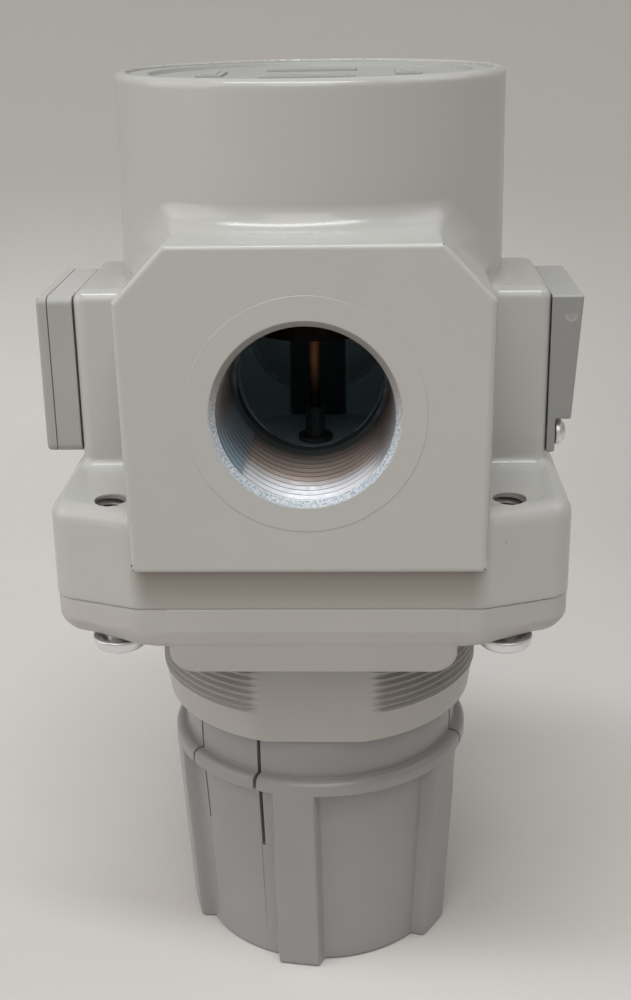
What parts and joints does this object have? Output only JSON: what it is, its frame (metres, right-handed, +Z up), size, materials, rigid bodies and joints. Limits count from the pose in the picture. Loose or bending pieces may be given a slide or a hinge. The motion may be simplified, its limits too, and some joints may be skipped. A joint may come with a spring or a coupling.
{
  "type": "compressed air pressure regulator",
  "caption": "Modular compressed air regulator with large threaded ports, square gauge, blanking cover and a push-lock adjusting knob below.",
  "frame": {"origin": "centre of the knob's end face, on the main axis; the regulator stands on this face", "axes": "+Z up the main axis, from knob to cylinder; the outlet port faces -Y and the inlet port +Y; the gauge is on -X and the blanking cover on +X"},
  "size_m": [0.106, 0.095, 0.1862],
  "materials": {
    "body_paint": "semi-gloss off-white paint with faint orange peel",
    "bonnet_plastic": "satin off-white moulded plastic",
    "knob_plastic": "satin mid grey moulded plastic",
    "gauge_plastic": "satin grey moulded plastic",
    "guide_plastic": "satin off-white moulded plastic",
    "zinc_steel": "bright zinc plate",
    "spring_steel": "drawn spring wire",
    "brass": "turned",
    "aluminium": "turned",
    "rubber": "moulded nitrile rubber",
    "orange_plastic": "satin",
    "dial_paint": "matt white",
    "pointer_paint": "matt black",
    "window": "clear"
  },
  "bodies": {
    "housing": {"body": "body_paint", "valve_guide": "guide_plastic", "valve_guide_o_ring": "rubber", "valve_seat": "brass", "valve_spring": "spring_steel", "stem_guide": "aluminium", "diaphragm": "rubber", "bonnet": "bonnet_plastic", "unlock_band": "orange_plastic", "bonnet_screw_1": "zinc_steel", "bonnet_screw_2": "zinc_steel", "bonnet_screw_3": "zinc_steel", "bonnet_screw_4": "zinc_steel", "adjusting_spring": "spring_steel", "gauge_case": "gauge_plastic", "gauge_bezel": "gauge_plastic", "gauge_window": "window", "gauge_dial": "dial_paint", "gauge_tube": "brass", "gauge_fitting": "brass", "gauge_o_ring": "rubber", "cover_plate": "gauge_plastic", "cover_screw_1": "zinc_steel", "cover_screw_2": "zinc_steel", "port_plug": "guide_plastic", "plug_o_ring": "rubber"},
    "spindle": {"adjusting_screw": "zinc_steel", "thrust_washer": "brass"},
    "knob": {"knob": "knob_plastic"},
    "nut": {"adjusting_nut": "brass"},
    "valve": {"valve": "guide_plastic", "valve_seal": "rubber", "valve_o_ring": "rubber", "valve_stem": "brass"},
    "plate": {"spring_plate": "zinc_steel", "diaphragm_washer": "aluminium", "relief_hub": "brass"},
    "pointer": {"gauge_pointer": "pointer_paint"}
  },
  "joints": [
    {"name": "knob_turn", "type": "hinge", "parent": "housing", "child": "spindle", "pos_m": [0, 0, 0.042], "axis": [0, 0, 1], "range_deg": [0, 1800]},
    {"name": "knob_push", "type": "slide", "parent": "spindle", "child": "knob", "axis": [0, 0, 1], "range_m": [0, 0.008]},
    {"name": "nut_travel", "type": "slide", "parent": "housing", "child": "nut", "axis": [0, 0, 1], "range_m": [0, 0.01001], "deforming": ["adjusting_spring"]},
    {"name": "valve_lift", "type": "slide", "parent": "housing", "child": "valve", "axis": [0, 0, 1], "range_m": [0, 0.003], "stiffness_N_per_m": 1500, "springref_m": -0.004, "deforming": ["valve_spring"]},
    {"name": "plate_lift", "type": "slide", "parent": "housing", "child": "plate", "axis": [0, 0, 1], "range_m": [0, 0.003], "deforming": ["diaphragm"]},
    {"name": "gauge_needle", "type": "hinge", "parent": "housing", "child": "pointer", "pos_m": [-0.0508, 0, 0.1293], "axis": [1, 0, 0], "range_deg": [0, 270], "stiffness_Nm_per_rad": 0.0005}
  ],
  "couplings": [
    {"joint": "nut_travel", "follows": "knob_turn", "m_per_rad": 0.00031831},
    {"joint": "plate_lift", "follows": "valve_lift", "ratio": 1}
  ]
}
